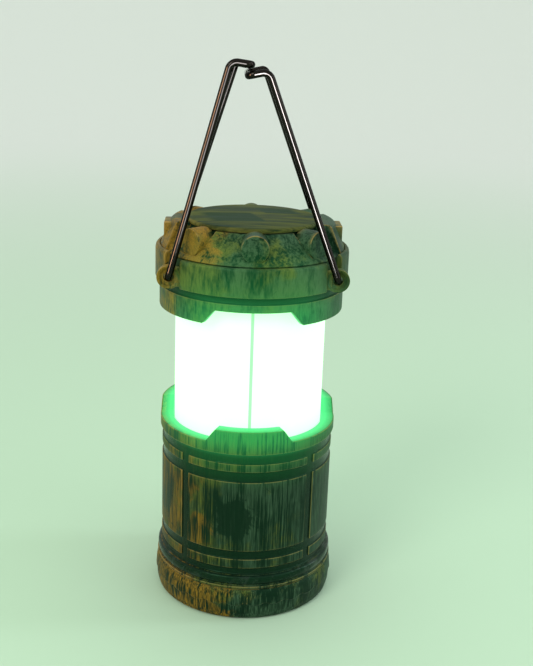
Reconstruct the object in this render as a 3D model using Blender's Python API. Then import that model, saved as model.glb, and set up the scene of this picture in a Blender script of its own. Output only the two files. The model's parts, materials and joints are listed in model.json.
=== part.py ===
"""Pop-up camping lantern: sliding cap and diffuser, two folding wire handles, twist-off base.

Built in millimetres and scaled to metres on output. +Z is up and -Y is the front.
The lantern stands on z = 0 with its axis on the origin.
"""

import math

import bmesh
import bpy
from mathutils import Matrix, Vector

MM = 0.001
LATHE_STEPS = 48
CORE_STEPS = 32
SMALL_STEPS = 12
SMOOTH_ANGLE = math.radians(35)
MERGE_DISTANCE = 0.000004
COPLANAR_ANGLE = math.radians(0.2)
WELD_DISTANCE = 0.0005
# Radii that every cutter passes through, inside and outside of a wall.
CUT_INSIDE = 30.0
CUT_SKIRT_INSIDE = 36.0
CUT_OUTSIDE = 46.0

# Body outside, from the rib above the base cover to the crenellated rim.
RIB_ROWS = ((41.6, 15.9), (42.5, 16.2), (42.5, 17.2), (41.4, 17.6), (41.4, 18.1))
RING_ROWS = ((42.1, 18.6), (42.3, 20.2), (42.1, 21.8), (41.2, 22.3), (39.9, 22.7))
PANEL_BANDS = ((25.9, 30.2), (34.6, 68.7), (73.9, 77.5))
PANEL_CHAMFER = 0.4
RADIUS_PANEL = 40.6
RADIUS_GROOVE = 39.9
RADIUS_COLLAR = 41.4
RADIUS_LIP = 35.6
RADIUS_BAY = 38.5
BODY_BOTTOM = 15.9
COLLAR_FOOT = (82.2, 82.6)
RIM_LOW = 87.5
RIM_HIGH = 93.5
LIP_UNDERSIDE = 76.0
FLOOR_TOP = 18.4
FLOOR_UNDERSIDE = 16.1
FLOOR_HOLE_RADIUS = 25.6
SKIRT_BOTTOM = 9.6
SKIRT_RADII = (36.4, 38.3)
TAB_RADII = (38.0, 39.8)
TAB_SPAN = (9.9, 12.4)

# The body's rim and the cap's skirt interlock three times round.
MERLON_ANGLES = (0.0, 120.0, 240.0)
MERLON_TOP_HALF = 21.9
MERLON_FOOT_HALF = 28.4
NOTCH_TOP_HALF = 23.2
NOTCH_FOOT_HALF = 31.7
PANEL_GROOVE_ANGLES = (45.0, 135.0, 225.0, 315.0)
PANEL_GROOVE_WIDTH = 4.2
PANEL_GROOVE_FLOOR = 39.95
PANEL_GROOVE_SPAN = (25.7, 77.7)

# Base cover, held by three bayonet lugs.
COVER_TOP = 15.6
COVER_INNER = 40.4
COVER_ROWS = ((41.0, 0.0), (42.3, 1.0), (43.0, 3.6), (43.3, 7.6), (43.0, 11.6), (42.5, 14.2))
COVER_LIP = 41.8
COVER_FLOOR_TOP = 3.0
COVER_RECESS = 0.8
COVER_FOOT_INNER = 34.0
BAYONET_ANGLES = (30.0, 150.0, 270.0)
BAYONET_HALF = 12.0
BAYONET_RADII = (38.8, 40.7)
BAYONET_SPAN = (12.8, 14.9)

# Battery core and its three AA cells.
CORE_RADIUS = 31.0
CORE_SPAN = (18.7, 62.0)
CELL_ANGLES = (90.0, 210.0, 330.0)
CELL_CIRCLE = 17.0
CELL_RADIUS = 7.1
CELL_SPAN = (8.7, 58.0)
CELL_NUB_TOP = 59.2
CELL_NUB_RADIUS = 2.7
CELL_CHAMFER = (0.5, 0.6)
CELL_STEPS = 16
CONTACT_SPAN = (59.5, 60.0)
CONTACT_RADIUS = 6.0
SPRING_TURNS = 2
SPRING_STEPS = 10
SPRING_RADII = (4.6, 3.0)
SPRING_SPAN = (5.7, 8.0)
SPRING_WIRE = 0.4
SPRING_SIDES = 5
BORE_RADIUS = 7.5
BORE_TOP = 60.3
BORE_STEPS = 20
CORE_CUT_START = 2.0
SCREW_ANGLES = (30.0, 150.0, 270.0)
SCREW_CIRCLE = 28.2
SCREW_SHAFT = 1.2
SCREW_HEAD = 2.4
SCREW_HOLE = 1.5
SCREW_SPAN = (14.2, 15.8, 25.5)
SCREW_POINT = 1.0
SCREW_STEPS = 10
FLOOR_HOLE_SPAN = (15.0, 19.5)
PILOT_DEPTH = 10.0

# Circuit board, white deck, pull-up switch and contact carrier.
BOARD_RADIUS = 26.0
BOARD_HEIGHTS = (63.0, 64.6)
ROUND_STEPS = 24
CHIPS = (
    ((-5.0, 4.0, 64.2), (4.0, 10.0, 66.4)),
    ((6.0, -9.0, 64.2), (12.0, -3.0, 68.2)),
    ((-14.0, -12.0, 64.2), (-8.0, -7.0, 66.0)),
)
DECK_ROWS = ((31.0, 62.3), (31.0, 71.0), (30.5, 71.5), (0, 71.5), (0, 69.8), (29.4, 69.8), (29.4, 62.3))
REED_ENDS = ((27.5, -6.0, 72.9), (27.5, 6.0, 72.9))
REED_RADIUS = 1.0
REED_STEPS = 8
CARRIER_ROWS = ((0, 3.3), (25.0, 3.3), (25.0, 4.9), (0, 4.9))

# Light tower.
TOWER_SPAN = (71.8, 114.0)
TOWER_INRADIUS = 11.0
TOWER_CORNER = 19.0
TOWER_FACES = (0.0, 120.0, 240.0)
BOARD_DEPTHS = (11.3, 12.3)
BOARD_WIDTH = 15.0
BOARD_SPAN = (73.5, 112.5)
EMITTER_DEPTHS = (12.6, 13.4)
EMITTER_WIDTH = 11.0
EMITTER_SPAN = (76.0, 110.0)
TOWER_CAP_ROWS = ((0, 114.3), (20.0, 114.3), (20.0, 115.6), (19.2, 116.2), (0, 116.2))

# Diffuser tube and its foot ring.
DIFFUSER_RADII = (33.1, 34.9)
DIFFUSER_SPAN = (76.0, 163.0)
FOOT_RADII = (33.1, 38.1)
FOOT_SPAN = (73.2, 75.7)
MAGNET_RADIUS = 35.6
MAGNET_ANGLE = 90.0
MAGNET_HALF = (2.3, 1.4)
MAGNET_SPAN = (73.3, 74.8)
POCKET_HALF = (2.6, 1.7)
POCKET_SPAN = (72.2, 75.1)

# Cap.
SKIRT_RADIUS = 42.3
CAP_SKIRT_BOTTOM = 141.9
NOTCH_TOP = 148.4
NECK_ROWS = ((42.3, 151.8), (41.3, 152.3), (41.3, 154.9))
BAND_CHAMFER = 43.2
BAND_INSIDE = ((38.2, 168.0), (38.2, 166.5), (35.2, 166.5), (35.2, 150.0), (38.9, 150.0))
BAND_RADIUS = 44.0
BAND_SPAN = (155.3, 167.3)
BAND_TOP = 168.0
RECESS_ANGLES = (47.0, 61.0)
RECESS_RADIUS = 41.8
RECESS_OUTSIDE = 47.0
RECESS_SPAN = (154.4, 170.0)
WING_INNER = 42.3
WING_ROWS = ((155.9, 44.3), (167.8, 44.3), (169.4, 43.9), (170.2, 43.1))
WING_OVERLAP = 0.3
DOME_BASE = 168.3
DOME_EDGE = 0.4
DOME_SKIN = 2.0
DOME_TOP = 180.3
DOME_RADII = (41.5, 31.0)
DOME_WALL = 4.0
BOSS_RADIUS = 6.0
BOSS_STEPS = 20
BOSS_HEIGHT = 175.6
BOSS_INNER = 29.5
BOSS_REACH = {0.0: 40.3, 45.0: 39.6, 135.0: 39.6, 180.0: 40.3, 225.0: 39.6, 315.0: 39.6}
SIDE_BLOCK_HALF = 6.6
SIDE_BLOCK_REACH = (31.0, 40.2)
SIDE_BLOCK_SPAN = (170.0, 180.2)
SHOULDER_HALF = 23.0
SHOULDER_ROWS = ((168.3, 42.0), (170.0, 42.0), (181.2, 37.0), (181.9, 35.8))
CUT_ANGLES = (45.0, 135.0, 225.0, 315.0)
CUT_DEPTH = 2.2
CUT_ROWS = ((170.4, 6.0, 22.0), (181.5, 13.0, 22.0))
DISC_RADIUS = 30.6
DISC_SPAN = (180.6, 183.4)
DISC_ROWS = ((30.6, 181.9), (29.6, 182.6), (20.0, 183.1))
DISC_SEAT_MARGIN = 0.5
DISC_SEAT_HEIGHT = 6.0
REFLECTOR_BRIM = ((37.9, 166.8), (37.9, 167.9), (32.7, 167.9), (32.7, 172.3))
REFLECTOR_INSIDE = ((0, 172.3), (0, 170.9), (31.4, 170.9), (31.4, 166.8))

# Lugs and wire handles.
HINGE_X = 36.95
HINGE_Z = 160.1
LUG_RADIUS = 5.2
LUG_HOLE = 2.2
LUG_SPAN = (24.9, 28.8)
LUG_STEPS = 20
LUG_WEB = (29.8, 34.6)
LUG_WEB_INSET = 0.15
LUG_WEB_HALF = 3.4
LUG_HOLE_PAST = 1.0
LEG_Y = 30.8
WIRE_RADIUS = 1.6
WIRE_SIDES = 10
WIRE_END_Y = 24.6
ARM_BEND = 98.0
# Lean of the leg, its length and the length of its arm, at the front and at the rear.
LEFT_BAIL = ((15.2, 94.9, 8.6), (17.4, 92.6, 5.8))
RIGHT_BAIL = ((20.7, 94.0, 8.6), (20.7, 92.0, 8.6))
WIRE_BENDS = (2.6, 3.6, 2.6, 2.0, 2.0, 2.6)
BEND_STEPS = 4


def clear_scene():
    """Start from an empty scene."""
    for obj in list(bpy.data.objects):
        bpy.data.objects.remove(obj, do_unlink=True)


def material(name, color, roughness, metallic=0.0):
    """A plain Principled material."""
    found = bpy.data.materials.new(name)
    found.use_nodes = True
    shader = found.node_tree.nodes["Principled BSDF"]
    shader.inputs["Base Color"].default_value = (*color, 1.0)
    shader.inputs["Roughness"].default_value = roughness
    shader.inputs["Metallic"].default_value = metallic
    return found


def add_object(name, bm, look=None):
    """Turn a bmesh in millimetres into a scene object in metres, with faces out."""
    bmesh.ops.remove_doubles(bm, verts=bm.verts, dist=WELD_DISTANCE)
    bmesh.ops.recalc_face_normals(bm, faces=bm.faces)
    if bm.calc_volume(signed=True) < 0:
        bmesh.ops.reverse_faces(bm, faces=bm.faces)
    bmesh.ops.scale(bm, vec=Vector((MM, MM, MM)), verts=bm.verts)
    mesh = bpy.data.meshes.new(name)
    bm.to_mesh(mesh)
    bm.free()
    obj = bpy.data.objects.new(name, mesh)
    bpy.context.scene.collection.objects.link(obj)
    if look:
        mesh.materials.append(look)
    return obj


def combine(target, operation, others):
    """Boolean each of others into target, keep the result and drop the others."""
    for other in others:
        modifier = target.modifiers.new("join", "BOOLEAN")
        modifier.operation = operation
        modifier.solver = "EXACT"
        modifier.object = other
        bpy.context.view_layer.update()
        graph = bpy.context.evaluated_depsgraph_get()
        result = bpy.data.meshes.new_from_object(target.evaluated_get(graph))
        target.modifiers.clear()
        target.data = result
        bpy.data.objects.remove(other, do_unlink=True)
    target.data.name = target.name
    return tidy(target)


def tidy(obj):
    """Join coplanar faces that a Boolean left split, and drop slivers."""
    bm = bmesh.new()
    bm.from_mesh(obj.data)
    bmesh.ops.remove_doubles(bm, verts=bm.verts, dist=MERGE_DISTANCE)
    bmesh.ops.dissolve_limit(
        bm,
        angle_limit=COPLANAR_ANGLE,
        verts=bm.verts,
        edges=bm.edges,
        delimit={"NORMAL"},
    )
    bmesh.ops.triangulate(bm, faces=bm.faces, quad_method="BEAUTY", ngon_method="BEAUTY")
    bmesh.ops.dissolve_degenerate(bm, edges=bm.edges, dist=MERGE_DISTANCE)
    bm.to_mesh(obj.data)
    bm.free()
    return obj


def smooth(obj):
    """Shade smooth, with edges sharper than the limit kept sharp."""
    bm = bmesh.new()
    bm.from_mesh(obj.data)
    for face in bm.faces:
        face.smooth = True
    for edge in bm.edges:
        edge.smooth = edge.calc_face_angle(math.pi) < SMOOTH_ANGLE
    bm.to_mesh(obj.data)
    bm.free()


def polar(radius, angle, z):
    """A point at an angle in degrees, counted from the front towards +X."""
    turn = math.radians(angle)
    return Vector((radius * math.sin(turn), -radius * math.cos(turn), z))


def lathe(name, profile, look=None, steps=LATHE_STEPS):
    """Turn a closed (radius, z) outline about the axis. A radius of 0 is a pole."""
    bm = bmesh.new()
    rings = []
    for radius, z in profile:
        if radius == 0:
            rings.append([bm.verts.new((0, 0, z))])
        else:
            turns = [360.0 * (i + 0.5) / steps for i in range(steps)]
            rings.append([bm.verts.new(polar(radius, turn, z)) for turn in turns])
    for index, ring in enumerate(rings):
        after = rings[(index + 1) % len(rings)]
        for i in range(steps):
            j = (i + 1) % steps
            corners = [ring[i % len(ring)], ring[j % len(ring)]]
            corners += [after[j % len(after)], after[i % len(after)]]
            corners = list(dict.fromkeys(corners))
            if len(corners) > 2:
                bm.faces.new(corners)
    return add_object(name, bm, look)


def sector(name, rows, look=None, steps=8):
    """A block between two angles. Each row is z, inner and outer radius, first and last angle."""
    bm = bmesh.new()
    layers = []
    for z, inner, outer, first, last in rows:
        angles = [first + (last - first) * i / steps for i in range(steps + 1)]
        loop = [bm.verts.new(polar(outer, angle, z)) for angle in angles]
        loop += [bm.verts.new(polar(inner, angle, z)) for angle in reversed(angles)]
        layers.append(loop)
    count = len(layers[0])
    for low, high in zip(layers, layers[1:]):
        for i in range(count):
            j = (i + 1) % count
            bm.faces.new((low[i], low[j], high[j], high[i]))
    for layer in (layers[0], layers[-1]):
        for i in range(steps):
            bm.faces.new((layer[i], layer[i + 1], layer[count - 2 - i], layer[count - 1 - i]))
    return add_object(name, bm, look)


def rod(name, start, end, radius, look=None, steps=SMALL_STEPS):
    """A straight round bar between two points."""
    start, end = Vector(start), Vector(end)
    turn = (end - start).to_track_quat("Z", "Y").to_matrix().to_4x4()
    place = Matrix.Translation((start + end) / 2) @ turn
    bm = bmesh.new()
    bmesh.ops.create_cone(
        bm,
        cap_ends=True,
        segments=steps,
        radius1=radius,
        radius2=radius,
        depth=(end - start).length,
        matrix=place,
    )
    return add_object(name, bm, look)


def block(name, low, high, look=None, angle=0.0):
    """A box given as (across, outwards, up) corners, turned about the axis from the front."""
    bm = bmesh.new()
    bmesh.ops.create_cube(bm, size=1.0)
    for vert in bm.verts:
        across, out, up = (
            low[i] if vert.co[i] < 0 else high[i] for i in range(3)
        )
        turn = math.radians(angle)
        vert.co.x = out * math.sin(turn) + across * math.cos(turn)
        vert.co.y = -out * math.cos(turn) + across * math.sin(turn)
        vert.co.z = up
    return add_object(name, bm, look)


def rounded_path(points, radii, arc_steps):
    """A polyline with each inner corner replaced by an arc of the given radius."""
    path = [points[0]]
    for before, corner, after, radius in zip(points, points[1:], points[2:], radii):
        back = (before - corner).normalized()
        ahead = (after - corner).normalized()
        half = back.angle(ahead) / 2
        cut = radius / math.tan(half)
        centre = corner + (back + ahead).normalized() * radius / math.sin(half)
        first = corner + back * cut - centre
        last = corner + ahead * cut - centre
        axis = first.cross(last).normalized()
        sweep = first.angle(last)
        for i in range(arc_steps + 1):
            turned = Matrix.Rotation(sweep * i / arc_steps, 3, axis) @ first
            path.append(centre + turned)
    path.append(points[-1])
    return path


def wire(name, path, radius, look, sides=WIRE_SIDES):
    """A round wire along a path, with flat ends and no twist."""
    bm = bmesh.new()
    tangents = []
    for i in range(len(path)):
        ahead = path[min(i + 1, len(path) - 1)] - path[i]
        behind = path[i] - path[max(i - 1, 0)]
        tangents.append((ahead.normalized() + behind.normalized()).normalized())
    side = tangents[0].orthogonal().normalized()
    rings = []
    for i, (point, tangent) in enumerate(zip(path, tangents)):
        if i:
            side = tangents[i - 1].rotation_difference(tangent) @ side
        across = tangent.cross(side).normalized()
        ring = []
        for k in range(sides):
            turn = 2 * math.pi * (k + 0.5) / sides
            offset = math.cos(turn) * side + math.sin(turn) * across
            ring.append(bm.verts.new(point + radius * offset))
        rings.append(ring)
    for low, high in zip(rings, rings[1:]):
        for k in range(sides):
            j = (k + 1) % sides
            bm.faces.new((low[k], low[j], high[j], high[k]))
    bm.faces.new(rings[0])
    bm.faces.new(rings[-1])
    return add_object(name, bm, look)


def move_origin(obj, point):
    """Put the object's origin on a point given in millimetres, without moving its mesh."""
    offset = Vector(point) * MM
    obj.data.transform(Matrix.Translation(-offset))
    obj.location = offset


def make_looks():
    """One material for each kind of surface."""
    return {
        "cap_paint": material("cap_paint", (0.13, 0.20, 0.07), 0.5),
        "dome_paint": material("dome_paint", (0.17, 0.20, 0.05), 0.5),
        "disc_paint": material("disc_paint", (0.10, 0.13, 0.06), 0.5),
        "body_paint": material("body_paint", (0.11, 0.14, 0.06), 0.5),
        "cover_paint": material("cover_paint", (0.12, 0.11, 0.05), 0.5),
        "handle_steel": material("handle_steel", (0.22, 0.19, 0.17), 0.2, 1.0),
        "diffuser": material("diffuser", (0.85, 0.95, 0.88), 0.4),
        "foot_plastic": material("foot_plastic", (0.80, 0.82, 0.80), 0.5),
        "white_plastic": material("white_plastic", (0.82, 0.83, 0.80), 0.4),
        "core_plastic": material("core_plastic", (0.04, 0.045, 0.04), 0.5),
        "cell_wrap": material("cell_wrap", (0.05, 0.10, 0.06), 0.3),
        "contact_metal": material("contact_metal", (0.70, 0.68, 0.62), 0.3, 1.0),
        "screw_steel": material("screw_steel", (0.45, 0.45, 0.46), 0.3, 1.0),
        "board": material("board", (0.05, 0.22, 0.10), 0.5),
        "led_board": material("led_board", (0.85, 0.85, 0.83), 0.4),
        "phosphor": material("phosphor", (0.85, 0.90, 0.35), 0.5),
        "reed_glass": material("reed_glass", (0.30, 0.42, 0.34), 0.1),
        "magnet": material("magnet", (0.50, 0.50, 0.52), 0.3, 1.0),
    }


def body_outline():
    """Outside of the body with its ribs, grooves and bands, then the inside back down."""
    outline = [*RIB_ROWS, *RING_ROWS]
    for low, high in PANEL_BANDS:
        outline.append((RADIUS_GROOVE, low - PANEL_CHAMFER))
        outline.append((RADIUS_PANEL, low))
        outline.append((RADIUS_PANEL, high))
        outline.append((RADIUS_GROOVE, high + PANEL_CHAMFER))
    outline += [(RADIUS_GROOVE, COLLAR_FOOT[0]), (RADIUS_COLLAR, COLLAR_FOOT[1])]
    outline.append((RADIUS_COLLAR, RIM_HIGH))
    outline += [(RADIUS_LIP, RIM_HIGH), (RADIUS_LIP, LIP_UNDERSIDE)]
    outline += [(RADIUS_BAY, LIP_UNDERSIDE), (RADIUS_BAY, FLOOR_TOP)]
    outline += [(FLOOR_HOLE_RADIUS, FLOOR_TOP), (FLOOR_HOLE_RADIUS, FLOOR_UNDERSIDE)]
    outline += [(SKIRT_RADII[0], FLOOR_UNDERSIDE), (SKIRT_RADII[0], SKIRT_BOTTOM)]
    outline += [(SKIRT_RADII[1], SKIRT_BOTTOM), (SKIRT_RADII[1], BODY_BOTTOM)]
    return outline


def build_body_shell(looks):
    """Outer tube: notched rim, inner stop lip, floor ring and bayonet skirt."""
    shell = lathe("body_shell", body_outline(), looks["body_paint"])
    step = MERLON_ANGLES[1] - MERLON_ANGLES[0]
    cutters = []
    for centre in MERLON_ANGLES:
        foot = (centre + MERLON_FOOT_HALF, centre + step - MERLON_FOOT_HALF)
        top = (centre + MERLON_TOP_HALF, centre + step - MERLON_TOP_HALF)
        slope = (top[0] - foot[0]) / (RIM_HIGH - RIM_LOW)
        above = (top[0] + slope, top[1] - slope)
        rows = [(RIM_LOW, CUT_INSIDE, CUT_OUTSIDE, *foot)]
        rows.append((RIM_HIGH + 1.0, CUT_INSIDE, CUT_OUTSIDE, *above))
        cutters.append(sector("rim_gap", rows, steps=12))
    for angle in PANEL_GROOVE_ANGLES:
        half = PANEL_GROOVE_WIDTH / 2
        low = (-half, PANEL_GROOVE_FLOOR, PANEL_GROOVE_SPAN[0])
        high = (half, CUT_OUTSIDE, PANEL_GROOVE_SPAN[1])
        cutters.append(block("panel_groove", low, high, angle=angle))
    for angle in SCREW_ANGLES:
        ends = [polar(SCREW_CIRCLE, angle, z) for z in FLOOR_HOLE_SPAN]
        cutters.append(rod("screw_hole", *ends, SCREW_HOLE))
    combine(shell, "DIFFERENCE", cutters)
    tabs = []
    for angle in BAYONET_ANGLES:
        first, last = angle - BAYONET_HALF, angle + BAYONET_HALF
        rows = [(z, *TAB_RADII, first, last) for z in TAB_SPAN]
        tabs.append(sector("tab", rows, steps=4))
    return combine(shell, "UNION", tabs)


def build_base_cover(looks):
    """Twist-off bottom with a bulging rim and three bayonet lugs inside."""
    outline = [*COVER_ROWS, (COVER_LIP, COVER_TOP), (COVER_INNER, COVER_TOP)]
    outline += [(COVER_INNER, COVER_FLOOR_TOP), (0, COVER_FLOOR_TOP), (0, COVER_RECESS)]
    outline += [(COVER_FOOT_INNER, COVER_RECESS), (COVER_FOOT_INNER, 0.0)]
    cover = lathe("base_cover", outline, looks["cover_paint"])
    lugs = []
    for angle in BAYONET_ANGLES:
        first, last = angle - BAYONET_HALF, angle + BAYONET_HALF
        rows = [(z, *BAYONET_RADII, first, last) for z in BAYONET_SPAN]
        lugs.append(sector("lug", rows, steps=4))
    return combine(cover, "UNION", lugs)


def spring_points():
    """The middle line of one coil spring, which narrows towards its top."""
    points = []
    for i in range(SPRING_TURNS * SPRING_STEPS + 1):
        part = i / (SPRING_TURNS * SPRING_STEPS)
        radius = SPRING_RADII[0] + (SPRING_RADII[1] - SPRING_RADII[0]) * part
        z = SPRING_SPAN[0] + (SPRING_SPAN[1] - SPRING_SPAN[0]) * part
        points.append(polar(radius, 360.0 * SPRING_TURNS * part, z))
    return points


def build_cells(looks):
    """Three AA cells with a contact above and a coil spring below each."""
    low, high = CELL_SPAN
    cut, rise = CELL_CHAMFER
    outline = [(0, low), (CELL_RADIUS - cut, low), (CELL_RADIUS, low + rise)]
    outline += [(CELL_RADIUS, high - rise), (CELL_RADIUS - cut, high)]
    outline += [(CELL_NUB_RADIUS, high), (CELL_NUB_RADIUS, CELL_NUB_TOP), (0, CELL_NUB_TOP)]
    for number, angle in enumerate(CELL_ANGLES, 1):
        centre = polar(CELL_CIRCLE, angle, 0)
        cell = lathe(f"battery_{number}", outline, looks["cell_wrap"], CELL_STEPS)
        cell.data.transform(Matrix.Translation(centre * MM))
        ends = [centre + Vector((0, 0, z)) for z in CONTACT_SPAN]
        rod(f"contact_top_{number}", *ends, CONTACT_RADIUS, looks["contact_metal"])
        coil = [centre + point for point in spring_points()]
        wire(f"battery_spring_{number}", coil, SPRING_WIRE, looks["contact_metal"], SPRING_SIDES)


def build_core(looks):
    """Battery core with three bores, and the screws that hold it to the body floor."""
    low, high = CORE_SPAN
    core = lathe(
        "battery_core",
        [(0, low), (CORE_RADIUS, low), (CORE_RADIUS, high), (0, high)],
        looks["core_plastic"],
        CORE_STEPS,
    )
    cutters = []
    for angle in CELL_ANGLES:
        centre = polar(CELL_CIRCLE, angle, 0)
        ends = [centre + Vector((0, 0, z)) for z in (low - CORE_CUT_START, BORE_TOP)]
        cutters.append(rod("bore", *ends, BORE_RADIUS, steps=BORE_STEPS))
    for angle in SCREW_ANGLES:
        spot = polar(SCREW_CIRCLE, angle, low - CORE_CUT_START)
        cutters.append(rod("pilot", spot, spot + Vector((0, 0, PILOT_DEPTH)), SCREW_HOLE))
    combine(core, "DIFFERENCE", cutters)
    for number, angle in enumerate(SCREW_ANGLES, 1):
        head_low, head_high, tip = SCREW_SPAN
        outline = [(0, head_low), (SCREW_HEAD, head_low), (SCREW_HEAD, head_high)]
        outline += [(SCREW_SHAFT, head_high), (SCREW_SHAFT, tip - SCREW_POINT), (0, tip)]
        screw = lathe(f"core_screw_{number}", outline, looks["screw_steel"], SCREW_STEPS)
        screw.data.transform(Matrix.Translation(polar(SCREW_CIRCLE, angle, 0) * MM))


def build_deck(looks):
    """Circuit board, the white deck over it, the reed switch and the contact carrier."""
    low, high = BOARD_HEIGHTS
    outline = [(0, low), (BOARD_RADIUS, low), (BOARD_RADIUS, high), (0, high)]
    board = lathe("circuit_board", outline, looks["board"], ROUND_STEPS)
    combine(board, "UNION", [block("chip", *corners) for corners in CHIPS])
    lathe("deck_reflector", DECK_ROWS, looks["white_plastic"], CORE_STEPS)
    rod("reed_switch", *REED_ENDS, REED_RADIUS, looks["reed_glass"], REED_STEPS)
    lathe("contact_carrier", CARRIER_ROWS, looks["core_plastic"], ROUND_STEPS)


def build_tower(looks):
    """Three-sided light tower with a board and a phosphor strip on each face."""
    low, high = TOWER_SPAN
    bm = bmesh.new()
    outline = []
    for face in TOWER_FACES:
        reach = math.degrees(math.acos(TOWER_INRADIUS / TOWER_CORNER))
        outline += [(TOWER_CORNER, face - reach), (TOWER_CORNER, face + reach)]
    bottom = [bm.verts.new(polar(radius, angle, low)) for radius, angle in outline]
    top = [bm.verts.new(polar(radius, angle, high)) for radius, angle in outline]
    for i in range(len(outline)):
        j = (i + 1) % len(outline)
        bm.faces.new((bottom[i], bottom[j], top[j], top[i]))
    bm.faces.new(bottom)
    bm.faces.new(top)
    add_object("led_tower", bm, looks["white_plastic"])
    for number, face in enumerate(TOWER_FACES, 1):
        half = BOARD_WIDTH / 2
        corner_low = (-half, BOARD_DEPTHS[0], BOARD_SPAN[0])
        corner_high = (half, BOARD_DEPTHS[1], BOARD_SPAN[1])
        block(f"led_board_{number}", corner_low, corner_high, looks["led_board"], face)
        half = EMITTER_WIDTH / 2
        corner_low = (-half, EMITTER_DEPTHS[0], EMITTER_SPAN[0])
        corner_high = (half, EMITTER_DEPTHS[1], EMITTER_SPAN[1])
        block(f"led_strip_{number}", corner_low, corner_high, looks["phosphor"], face)
    lathe("tower_cap", TOWER_CAP_ROWS, looks["white_plastic"], ROUND_STEPS)


def magnet_corners(half, span):
    """Opposite corners of a box on the magnet's circle."""
    across, out = half
    low = (-across, MAGNET_RADIUS - out, span[0])
    high = (across, MAGNET_RADIUS + out, span[1])
    return low, high


def build_diffuser(looks):
    """Frosted tube, the foot ring that stops it under the rim, and the switch magnet."""
    inner, outer = DIFFUSER_RADII
    low, high = DIFFUSER_SPAN
    outline = [(outer, low), (outer, high), (inner, high), (inner, low)]
    lathe("diffuser", outline, looks["diffuser"])
    inner, outer = FOOT_RADII
    low, high = FOOT_SPAN
    outline = [(outer, low), (outer, high), (inner, high), (inner, low)]
    foot = lathe("diffuser_foot", outline, looks["foot_plastic"])
    pocket = block("pocket", *magnet_corners(POCKET_HALF, POCKET_SPAN), angle=MAGNET_ANGLE)
    combine(foot, "DIFFERENCE", [pocket])
    corners = magnet_corners(MAGNET_HALF, MAGNET_SPAN)
    block("switch_magnet", *corners, looks["magnet"], MAGNET_ANGLE)


def build_cap_band(looks):
    """Ring that carries the skirt, the band, the side wings and the four handle lugs."""
    outline = [(SKIRT_RADIUS, CAP_SKIRT_BOTTOM), *NECK_ROWS]
    outline += [(BAND_RADIUS, BAND_SPAN[0]), (BAND_RADIUS, BAND_SPAN[1]), (BAND_CHAMFER, BAND_TOP)]
    outline += [*BAND_INSIDE, (BAND_INSIDE[-1][0], CAP_SKIRT_BOTTOM)]
    band = lathe("cap_band", outline, looks["cap_paint"])
    cutters = []
    for centre in MERLON_ANGLES:
        slope = (NOTCH_FOOT_HALF - NOTCH_TOP_HALF) / (NOTCH_TOP - CAP_SKIRT_BOTTOM)
        low_half = NOTCH_FOOT_HALF + slope
        rows = []
        for z, half in ((CAP_SKIRT_BOTTOM - 1.0, low_half), (NOTCH_TOP, NOTCH_TOP_HALF)):
            rows.append((z, CUT_SKIRT_INSIDE, CUT_OUTSIDE, centre - half, centre + half))
        cutters.append(sector("notch", rows))
    first, last = RECESS_ANGLES
    recesses = [(first, last), (180 - last, 180 - first)]
    recesses += [(180 + first, 180 + last), (-last, -first)]
    for start, end in recesses:
        rows = [(z, RECESS_RADIUS, RECESS_OUTSIDE, start, end) for z in RECESS_SPAN]
        cutters.append(sector("recess", rows, steps=3))
    combine(band, "DIFFERENCE", cutters)
    additions = []
    for side in (90.0, 270.0):
        half = 90.0 - last + WING_OVERLAP
        rows = [(z, WING_INNER, outer, side - half, side + half) for z, outer in WING_ROWS]
        additions.append(sector("wing", rows))
    for front in (-1, 1):
        for side in (-1, 1):
            additions += lug_solids(side, front)
    combine(band, "UNION", additions)
    return combine(band, "DIFFERENCE", [lug_hole(side, front) for side in (-1, 1) for front in (-1, 1)])


def lug_solids(side, front):
    """The ring of one handle lug and the web that joins it to the band."""
    near = Vector((side * HINGE_X, front * LUG_SPAN[0], HINGE_Z))
    far = Vector((side * HINGE_X, front * LUG_SPAN[1], HINGE_Z))
    ring = rod("lug_ring", near, far, LUG_RADIUS, steps=LUG_STEPS)
    bm = bmesh.new()
    bmesh.ops.create_cube(bm, size=1.0)
    for vert in bm.verts:
        vert.co.x = side * (LUG_WEB[0] if vert.co.x < 0 else LUG_WEB[1])
        inset = LUG_WEB_INSET if vert.co.y < 0 else -LUG_WEB_INSET
        vert.co.y = front * (LUG_SPAN[0 if vert.co.y < 0 else 1] + inset)
        vert.co.z = HINGE_Z + (-LUG_WEB_HALF if vert.co.z < 0 else LUG_WEB_HALF)
    return [add_object("lug_web", bm), ring]


def lug_hole(side, front):
    """Cutter for the hole that one handle end turns in."""
    near = (side * HINGE_X, front * (LUG_SPAN[0] - LUG_HOLE_PAST), HINGE_Z)
    far = (side * HINGE_X, front * (LUG_SPAN[1] + LUG_HOLE_PAST), HINGE_Z)
    return rod("lug_hole", near, far, LUG_HOLE, steps=SMALL_STEPS)


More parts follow.
